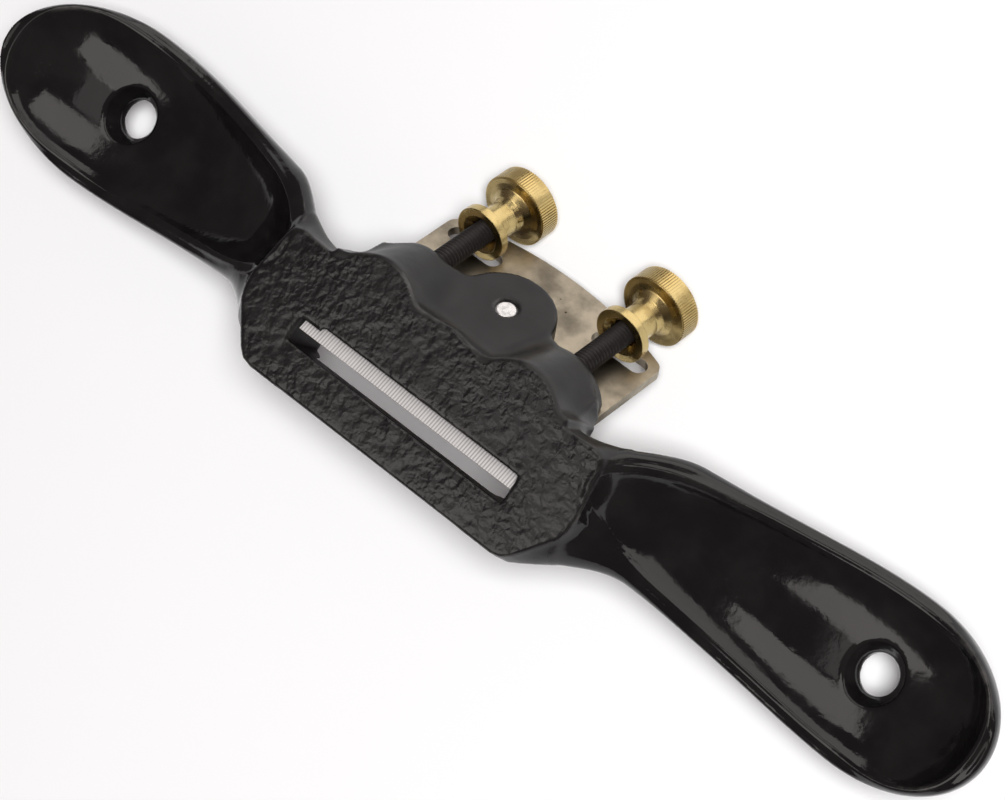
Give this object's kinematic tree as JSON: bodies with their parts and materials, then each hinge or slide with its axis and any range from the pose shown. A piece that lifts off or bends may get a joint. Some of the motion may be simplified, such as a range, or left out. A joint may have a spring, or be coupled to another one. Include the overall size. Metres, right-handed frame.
{
  "type": "spokeshave",
  "caption": "Adjustable flat-sole spokeshave: cast body with raised dished handles, a blade on a sloping bed, knurled adjusting nuts, lever cap and thumb screw.",
  "frame": {"origin": "middle of the bounding box's floor; the tool lies sole up, with its knob and nuts nearest the floor", "axes": "+X along the handles to the right handle, +Y from the toe to the adjusting nuts, +Z out of the sole"},
  "size_m": [0.25, 0.0586, 0.0407],
  "materials": {
    "enamel": "gloss black enamel on cast iron",
    "cap_enamel": "gloss black enamel",
    "blade_steel": "aged tool steel with a ground bevel",
    "black_steel": "blackened thread",
    "brass": "turned and knurled",
    "bright_steel": "bright turned"
  },
  "bodies": {
    "casting": {"body": "enamel", "left_stud": "black_steel", "right_stud": "black_steel"},
    "blade": {"blade": "blade_steel"},
    "left_nut": {"left_adjusting_nut": "brass"},
    "right_nut": {"right_adjusting_nut": "brass"},
    "cap": {"lever_cap": "cap_enamel"},
    "cap_screw": {"cap_screw": "bright_steel"},
    "thumb_rod": {"thumb_screw_rod": "black_steel"},
    "thumb_knob": {"thumb_screw_knob": "brass"}
  },
  "joints": [
    {"name": "blade_slide", "type": "slide", "parent": "casting", "child": "blade", "axis": [0, -0.7071, 0.7071], "range_m": [-0.0015, 0.0025]},
    {"name": "left_nut_turn", "type": "hinge", "parent": "blade", "child": "left_nut", "pos_m": [-0.018, 0.01421, 0.01557], "axis": [0, -0.7071, 0.7071], "range_deg": [-675, 1125]},
    {"name": "right_nut_turn", "type": "hinge", "parent": "blade", "child": "right_nut", "pos_m": [0.018, 0.01421, 0.01557], "axis": [0, -0.7071, 0.7071], "range_deg": [-675, 1125]},
    {"name": "cap_slide", "type": "slide", "parent": "casting", "child": "cap", "axis": [0, 0.7071, -0.7071], "range_m": [0, 0.007]},
    {"name": "cap_screw_turn", "type": "hinge", "parent": "casting", "child": "cap_screw", "pos_m": [0, 0.00282, 0.02158], "axis": [0, -0.7071, -0.7071], "range_deg": [0, 360]},
    {"name": "thumb_rod_slide", "type": "slide", "parent": "cap", "child": "thumb_rod", "axis": [0, -0.7071, -0.7071], "range_m": [0, 0.002]},
    {"name": "thumb_knob_turn", "type": "hinge", "parent": "thumb_rod", "child": "thumb_knob", "pos_m": [0, 0.00316, 0.00778], "axis": [0, -0.7071, -0.7071], "range_deg": [0, 900]}
  ],
  "couplings": [
    {"joint": "left_nut_turn", "follows": "blade_slide", "rad_per_m": 7854},
    {"joint": "right_nut_turn", "follows": "blade_slide", "rad_per_m": 7854},
    {"joint": "thumb_knob_turn", "follows": "thumb_rod_slide", "rad_per_m": 7854}
  ]
}
